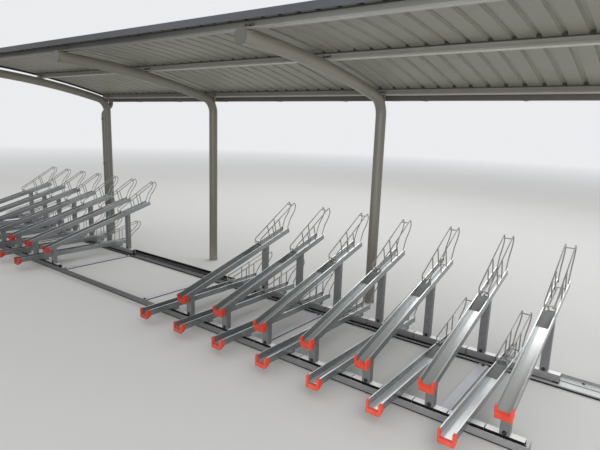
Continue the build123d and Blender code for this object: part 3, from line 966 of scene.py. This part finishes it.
# bolts and screws
boltLook = {"head": 0.0075, "height": 0.0055, "washer": 0.0125, "washerDepth": 0.0018}
screwLook = {"head": 0.0052, "height": 0.0030, "washer": 0.0095, "washerDepth": 0.0015}
rivetLook = {"head": 0.0040, "height": 0.0008, "washer": 0.0075, "washerDepth": 0.0004}
boltShape = {
    "washerSides": 14, "washerRim": 0.12, "washerRise": 0.35, "headSides": 6, "headRim": 0.2,
    "headRise": 0.22,
}


def makeBolt(name, look):
    # stands on the origin and points up Z, the rims and rises being parts of the sizes
    shape = boltShape
    deep, tall = look["washerDepth"], look["height"]
    washer = addRod(name + "Washer", shape["washerSides"], look["washer"], deep, (0, 0, deep / 2))
    pickFaces(washer, lambda c, n: n.z > 0.9)
    bpy.ops.mesh.inset(thickness=look["washer"] * shape["washerRim"])
    bpy.ops.transform.translate(value=(0, 0, deep * shape["washerRise"]))
    bpy.ops.object.mode_set(mode="OBJECT")
    head = addRod(name + "Head", shape["headSides"], look["head"], tall, (0, 0, deep + tall / 2))
    pickFaces(head, lambda c, n: n.z > 0.9)
    bpy.ops.mesh.inset(thickness=look["head"] * shape["headRim"])
    bpy.ops.transform.translate(value=(0, 0, tall * shape["headRise"]))
    bpy.ops.object.mode_set(mode="OBJECT")
    return joinPieces(name, [washer, head])


toFront = Matrix.Rotation(radians(90), 4, "X")  # makes a piece that points up point to the entry side

hoop = makeHoop()
lowCap = makeCap(channelLook["lowLength"], capLook["lowFloor"])
highLength = sqrt(channelLook["highRun"] ** 2 + channelLook["highRise"] ** 2)
highCap = makeCap(highLength, capLook["highFloor"])
bolt = makeBolt("bolt", boltLook)
screw = makeBolt("screw", screwLook)
rivet = makeBolt("rivet", rivetLook)
print("patterns made")

rampLook = {
    "front": -0.529, "rear": -0.401, "frontHeight": -0.043, "rearHeight": -0.003, "half": 0.0365,
    "thick": 0.0012, "lip": 0.004, "rise": 0.0004, "gap": 0.0002, "soft": 0.0004,
}


def makeRampPlate():
    # a thin tread plate that lies on the ramp, its middle raised a little
    look = rampLook
    run, rise = look["rear"] - look["front"], look["rearHeight"] - look["frontHeight"]
    plate = addBox(
        "rampPlate", (-look["half"], look["front"], 0.0), (look["half"], look["rear"], look["thick"])
    )
    pickFaces(plate, lambda c, n: n.z > 0.9)
    bpy.ops.mesh.inset(thickness=look["lip"])
    bpy.ops.transform.translate(value=(0, 0, look["rise"]))
    bpy.ops.object.mode_set(mode="OBJECT")
    softenEdges(plate, look["soft"], 1)
    stretch = Matrix.Scale(sqrt(run**2 + rise**2) / run, 4, (0, 1, 0))
    tilt = Matrix.Rotation(atan2(rise, run), 4, "X")
    onRamp = at(0, look["front"], look["frontHeight"] + look["gap"])
    plate.data.transform(onRamp @ tilt @ stretch @ at(0, -look["front"], 0))
    return plate


rampPlate = makeRampPlate()
legBolt = {"front": -1.399, "rear": -0.5145, "height": 0.0735}


def dressRack(name, body, xs, isLow):
    # hoops, caps and bolts of one rack, or of all the parked ones of a kind
    ends = [lowPlace(x) if isLow else highPlace(x) for x in xs]
    ending = "s" if body == "shelter" else ""
    hoops = spread(name + "_round_hoop" + ending, hoop, ends)
    finishPiece(hoops, body, finishes["hoopZinc"])
    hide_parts(name + "_hoop" + ending)
    caps = spread(name + "_moulded_cap" + ending, lowCap if isLow else highCap, ends)
    finishPiece(caps, body, finishes["capPlastic"])
    if body == "shelter":
        if not isLow:
            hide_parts("parked_end_caps")
    else:
        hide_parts(name + "_end_cap")
    plates = spread(name + "_ramp_plate" + ending, rampPlate, ends)
    finishPiece(plates, body, finishes["rampZinc"])
    if isLow:
        return
    spots = []
    for x in xs:
        for y in (legBolt["front"], legBolt["rear"]):
            spots.append(at(x, y, legBolt["height"]) @ toFront)
    bolts = spread(name + "_leg_bolts", bolt, spots)
    finishPiece(bolts, body, finishes["boltZinc"])


for rack, x in movingRacks.items():
    dressRack(rack, rack, [x], "low" in rack)
dressRack("parked_low", "shelter", parkedLow, True)
dressRack("parked_high", "shelter", parkedHigh, False)
print("racks dressed")

# roof: plugs under the ribs, screws through them, bolts at the cleats
ribRow = {"start": 2.153, "pitch": 0.128, "left": 33, "right": 16}
ribPlaces = [ribRow["start"] + ribRow["pitch"] * n for n in range(-ribRow["left"], ribRow["right"] + 1)]
plugLook = {
    "base": 0.029, "top": 0.0160, "height": 0.0118, "depth": 0.030, "proud": 0.002, "soft": 0.0015,
}


def makePlug():
    # a trapezoid stopper that stands on the purlin inside a rib
    look = plugLook
    half, middle = look["base"] / 2, (look["depth"] - look["proud"]) / 2
    plug = addBox("ribPlug", (-half, -look["proud"], 0.0), (half, look["depth"], look["height"]))
    pickFaces(plug, lambda c, n: n.z > 0.9)
    bpy.ops.transform.resize(
        value=(look["top"] / look["base"], 1, 1), center_override=(0, middle, look["height"])
    )
    bpy.ops.object.mode_set(mode="OBJECT")
    softenEdges(plug, look["soft"], 1)
    return plug


plug = makePlug()
plugSpots = [onArc(x, y, roofArc["sheet"]) for y in purlinPlaces for x in ribPlaces]
plugs = spread("rib_plugs", plug, plugSpots)
finishPiece(plugs, "shelter", finishes["sealRubber"])

roofScrewLook = {"behind": 0.014, "lift": 0.0192, "every": 2}
screwSpots = []
for y in purlinPlaces:
    for x in ribPlaces[:: roofScrewLook["every"]]:
        screwSpots.append(onArc(x, y + roofScrewLook["behind"], roofArc["sheet"] + roofScrewLook["lift"]))
screws = spread("roof_screws", screw, screwSpots)
finishPiece(screws, "shelter", finishes["screwZinc"])

cleatFace = (0, -0.004, 0.021)  # from the arm's upper edge to the bolt on the purlin's front
cleatSpots = []
for y in purlinPlaces:
    for x in postPlaces:
        cleatSpots.append(onArc(x, y, roofArc["arm"]) @ at(*cleatFace) @ toFront)
cleatBolts = spread("cleat_bolts", bolt, cleatSpots)
finishPiece(cleatBolts, "shelter", finishes["boltZinc"])

# ground fixings
tieLook = {"x": [-3.550, -2.185, -0.820, 0.545, 1.910, 3.275], "y": [-1.322, -0.590], "top": 0.008}
tieSpots = [at(x, y, tieLook["top"]) for x in tieLook["x"] for y in tieLook["y"]]
tieBolts = spread("tie_bolts", bolt, tieSpots)
finishPiece(tieBolts, "shelter", finishes["boltZinc"])

anchorLook = {"left": -3.35, "pitch": 0.6, "count": 13, "y": -0.418, "floor": 0.004}
anchorXs = [anchorLook["left"] + anchorLook["pitch"] * n for n in range(anchorLook["count"])]
anchorSpots = [at(x, anchorLook["y"], anchorLook["floor"]) for x in anchorXs]
anchorBolts = spread("rail_anchor_bolts", bolt, anchorSpots)
finishPiece(anchorBolts, "shelter", finishes["boltZinc"])

ridgeLook = {
    "left": -3.640, "right": 4.050, "places": [-0.538, -0.428], "width": 0.004, "height": 0.0045,
    "floor": 0.004, "sunk": 0.0005, "crown": 0.55, "soft": 0.0006,
}


def makeRidge(y):
    # a rolled ridge along the floor of the wide rail, clear of the carriages' feet
    look = ridgeLook
    half, top = look["width"] / 2, look["floor"] + look["height"]
    ridge = addBox(
        "railRidge", (look["left"], y - half, look["floor"] - look["sunk"]), (look["right"], y + half, top)
    )
    pickFaces(ridge, lambda c, n: n.z > 0.9)
    bpy.ops.transform.resize(value=(1, look["crown"], 1), center_override=(0, y, top))
    bpy.ops.object.mode_set(mode="OBJECT")
    softenEdges(ridge, look["soft"], 1)
    return ridge


ridges = joinPieces("rail_ridges", [makeRidge(y) for y in ridgeLook["places"]])
finishPiece(ridges, "shelter", finishes["ridgeZinc"])

sleeveLook = {
    "places": [-0.04667, 2.10667], "width": 0.080, "front": 0.068, "back": 0.158, "bottom": 1.790,
    "top": 1.8645, "wall": 0.0013, "slack": 0.0001, "soft": 0.0005,
}


def makeGutterSleeve(x):
    # a U sleeve over the joint of two gutter lengths
    look = sleeveLook
    wall, half, slack = look["wall"], look["width"] / 2, look["slack"]
    front, back, bottom, top = look["front"], look["back"], look["bottom"], look["top"]
    sleeve = addBox("gutterSleeve", (x - half, front - wall, bottom - wall), (x + half, back + wall, top))
    cutter = addBox(
        "sleeveCutter",
        (x - half - overcut, front - slack, bottom - slack),
        (x + half + overcut, back + slack, top + overcut),
    )
    cutAway(sleeve, cutter)
    softenEdges(sleeve, look["soft"], 1)
    return sleeve


sleeves = joinPieces("gutter_sleeves", [makeGutterSleeve(x) for x in sleeveLook["places"]])
finishPiece(sleeves, "shelter", finishes["gutterPaint"])

strapScrewLook = {"x": -2.103, "heights": [0.320, 0.960, 1.560], "front": -0.003}
strapSpots = []
for z in strapScrewLook["heights"]:
    strapSpots.append(at(strapScrewLook["x"], strapScrewLook["front"], z) @ toFront)
strapScrews = spread("strap_screws", screw, strapSpots)
finishPiece(strapScrews, "shelter", finishes["screwZinc"])

flashingScrewLook = {"y": -1.668, "lift": 0.0207, "first": 2, "every": 4}
flashingXs = ribPlaces[flashingScrewLook["first"] :: flashingScrewLook["every"]]
flashingRadius = roofArc["sheet"] + flashingScrewLook["lift"]
flashingSpots = [onArc(x, flashingScrewLook["y"], flashingRadius) for x in flashingXs]
flashingScrews = spread("flashing_screws", rivet, flashingSpots)
finishPiece(flashingScrews, "shelter", finishes["screwZinc"])

footLook = {"inner": 0.0447, "outer": 0.050, "height": 0.004, "rise": 0.003, "sides": 40}


def makeFootRing():
    # a bead of sealant round the foot of a post
    look = footLook
    ring = addRod("footRing", look["sides"], look["outer"], look["height"], (0, 0, look["height"] / 2))
    pickFaces(ring, lambda c, n: n.z > 0.9)
    bpy.ops.mesh.inset(thickness=look["outer"] - look["inner"])
    bpy.ops.transform.translate(value=(0, 0, look["rise"]))
    bpy.ops.object.mode_set(mode="OBJECT")
    smoothBy(ring, 60)
    return ring


footRing = makeFootRing()
rings = spread("foot_seals", footRing, [at(x, 0, 0) for x in postPlaces])
finishPiece(rings, "shelter", finishes["footSealant"])

for pattern in (hoop, lowCap, highCap, rampPlate, bolt, screw, rivet, plug, footRing):
    dropPattern(pattern)
print("roof and ground fixings made")

# floor, light and camera
stageLook = {
    "floorSize": 90.0, "floorColour": (0.66, 0.66, 0.65, 1), "background": (0.83, 0.84, 0.86, 1),
    "fadeFrom": 9.0, "fadeTo": 26.0, "floorPlace": (0.3, -0.8, -0.0005), "skyLight": 0.68,
}
lampLooks = {
    "keyLamp": {"power": 170.0, "size": (7, 5), "place": (8.0, -5.0, 7.0), "aim": (1.0, -0.8, 0.6)},
    "fillLamp": {"power": 30.0, "size": (7, 5), "place": (-7.0, -5.5, 5.5), "aim": (0.0, -0.8, 0.8)},
    "rearLamp": {"power": 330.0, "size": (14, 5), "place": (1.5, 5.5, 7.5), "aim": (0.3, -0.8, 0.6)},
    "frontLamp": {"power": 330.0, "size": (8, 3), "place": (6.5, -8.5, 1.8), "aim": (1.5, -1.0, 1.0)},
}
cameraLook = {"place": (4.132, -3.833, 1.55), "turn": (78.7334, -1.9419, 37.4168), "lens": 29.72}


def makeFloor():
    clearSelection()
    bpy.ops.mesh.primitive_plane_add(size=stageLook["floorSize"], location=stageLook["floorPlace"])
    floor = startPiece("floor")
    bpy.ops.object.transform_apply(location=True, rotation=True, scale=True)
    material, tree, shader = newMaterial("floorPale")
    shader.inputs["Base Color"].default_value = stageLook["floorColour"]
    shader.inputs["Roughness"].default_value = 0.9
    glow = tree.nodes.new("ShaderNodeEmission")
    glow.inputs["Color"].default_value = stageLook["background"]
    spot = tree.nodes.new("ShaderNodeTexCoord")
    reach = tree.nodes.new("ShaderNodeVectorMath")
    reach.operation = "LENGTH"
    tree.links.new(spot.outputs["Object"], reach.inputs[0])
    far = rangeNode(tree, reach.outputs["Value"], stageLook["fadeFrom"], stageLook["fadeTo"])
    mix = tree.nodes.new("ShaderNodeMixShader")
    tree.links.new(far, mix.inputs[0])
    tree.links.new(shader.outputs[0], mix.inputs[1])
    tree.links.new(glow.outputs[0], mix.inputs[2])
    tree.links.new(mix.outputs[0], tree.nodes["Material Output"].inputs["Surface"])
    floor.data.materials.append(material)


def makeWorld():
    world = bpy.data.worlds.new("studio")
    bpy.context.scene.world = world
    world.use_nodes = True
    tree = world.node_tree
    soft = tree.nodes["Background"]
    soft.inputs["Color"].default_value = (1, 1, 1, 1)
    soft.inputs["Strength"].default_value = stageLook["skyLight"]
    seen = tree.nodes.new("ShaderNodeBackground")
    seen.inputs["Color"].default_value = stageLook["background"]
    seen.inputs["Strength"].default_value = 1.0
    path = tree.nodes.new("ShaderNodeLightPath")
    mix = tree.nodes.new("ShaderNodeMixShader")
    direct = mathNode(tree, "MAXIMUM", path.outputs["Is Camera Ray"], path.outputs["Is Glossy Ray"])
    tree.links.new(direct, mix.inputs[0])
    tree.links.new(soft.outputs[0], mix.inputs[1])
    tree.links.new(seen.outputs[0], mix.inputs[2])
    tree.links.new(mix.outputs[0], tree.nodes["World Output"].inputs["Surface"])


def addLamp(name, look):
    clearSelection()
    bpy.ops.object.light_add(type="AREA", location=look["place"])
    lamp = bpy.context.object
    lamp.name = name
    lamp.data.energy = look["power"]
    lamp.data.shape = "RECTANGLE"
    lamp.data.size, lamp.data.size_y = look["size"]
    aim = Vector(look["aim"]) - Vector(look["place"])
    lamp.rotation_euler = aim.to_track_quat("-Z", "Y").to_euler()


def makeCamera():
    clearSelection()
    bpy.ops.object.camera_add(location=cameraLook["place"], rotation=[radians(a) for a in cameraLook["turn"]])
    camera = bpy.context.object
    camera.name = "photoCamera"
    camera.data.sensor_width = 36.0
    camera.data.lens = cameraLook["lens"]
    camera.data.clip_end = 200.0
    bpy.context.scene.camera = camera


makeFloor()
makeWorld()
for name, look in lampLooks.items():
    addLamp(name, look)
makeCamera()
bpy.context.scene.view_settings.view_transform = "Standard"
print("stage, lamps and camera made")
